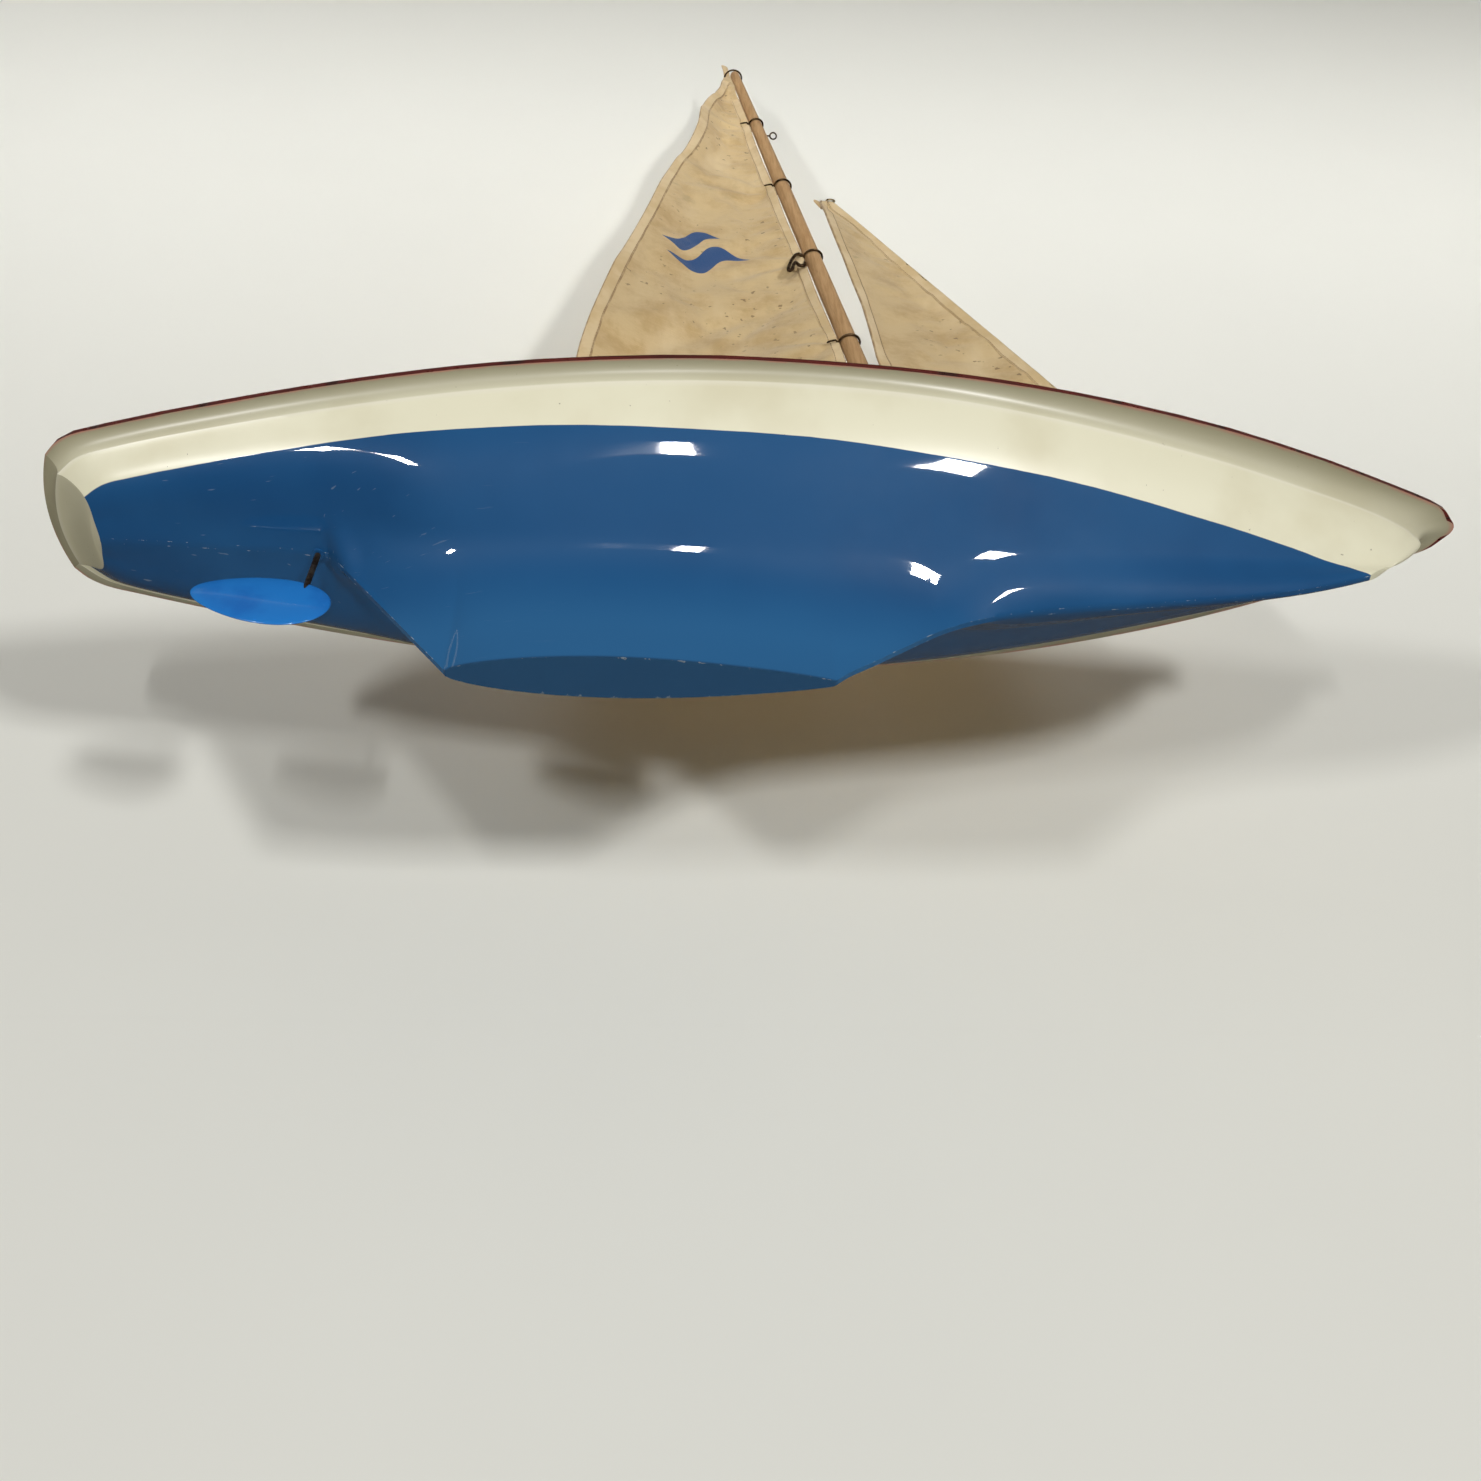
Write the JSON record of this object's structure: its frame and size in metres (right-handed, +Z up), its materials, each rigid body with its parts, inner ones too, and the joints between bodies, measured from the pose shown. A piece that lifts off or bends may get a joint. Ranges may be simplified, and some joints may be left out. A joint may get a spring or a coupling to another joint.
{
  "type": "toy pond yacht",
  "caption": "Free-sailing toy pond yacht with a hollow two-colour fin-keel hull, raked mast, boomed cotton mainsail and jib, and a tiller-set rudder.",
  "frame": {"origin": "on the flat foot of the keel, under the middle of the deck's length", "axes": "+X towards the bow, +Y to port, +Z up the mast"},
  "size_m": [0.502, 0.125, 0.706],
  "materials": {
    "hull_paint": "high-gloss enamel on wood: blue bottom, cream topsides",
    "deck_stain": "dark red stain under worn varnish",
    "bare_wood": "bare softwood",
    "spar_wood": "aged satin-varnished birch dowel",
    "brass": "dulled brass",
    "lead": "cast lead, matt grey",
    "dark_wire": "rusted dark steel wire",
    "sailcloth": "aged unbleached cotton with foxing stains",
    "rudder_paint": "bright blue gloss paint"
  },
  "bodies": {
    "hull": {"hull_shell": "hull_paint", "deck": "deck_stain", "deck_beam_aft": "bare_wood", "deck_beam_mid": "bare_wood", "deck_beam_fore": "bare_wood", "mast_step": "bare_wood", "mast_collar": "brass", "keel_ballast": "lead", "ballast_cap": "bare_wood", "deck_pins": "brass", "rudder_tube": "brass", "tiller_rack": "brass", "rack_pins": "brass", "mast": "spar_wood", "mast_eye": "dark_wire", "mast_stop": "brass", "jib_deck_eye": "dark_wire", "main_sheet_eye": "dark_wire", "jib_sheet_eye": "dark_wire"},
    "rudder": {"rudder_stock": "dark_wire", "rudder_blade": "rudder_paint", "stock_washer": "brass", "tiller": "brass"},
    "main_rig": {"main_boom": "spar_wood", "boom_jaw_ring": "dark_wire", "main_boom_eye": "dark_wire", "mast_rings": "dark_wire", "mainsail": "sailcloth"},
    "jib_rig": {"jib_boom": "spar_wood", "jib_boom_hook": "dark_wire", "jib_boom_eye": "dark_wire", "jib_luff_wire": "dark_wire", "jib": "sailcloth", "jib_head_ring": "brass"}
  },
  "joints": [
    {"name": "rudder_turn", "type": "hinge", "parent": "hull", "child": "rudder", "pos_m": [-0.156, 0, 0.06], "axis": [0, 0, 1], "range_deg": [-30, 30]},
    {"name": "main_boom_swing", "type": "hinge", "parent": "hull", "child": "main_rig", "pos_m": [0.0528, 0, 0.09791], "axis": [-0.0906, 0, 0.9959], "range_deg": [-60, 60]},
    {"name": "jib_boom_swing", "type": "hinge", "parent": "hull", "child": "jib_rig", "pos_m": [0.159, 0, 0.11075], "axis": [-0.3241, 0, 0.946], "range_deg": [-45, 45]}
  ]
}
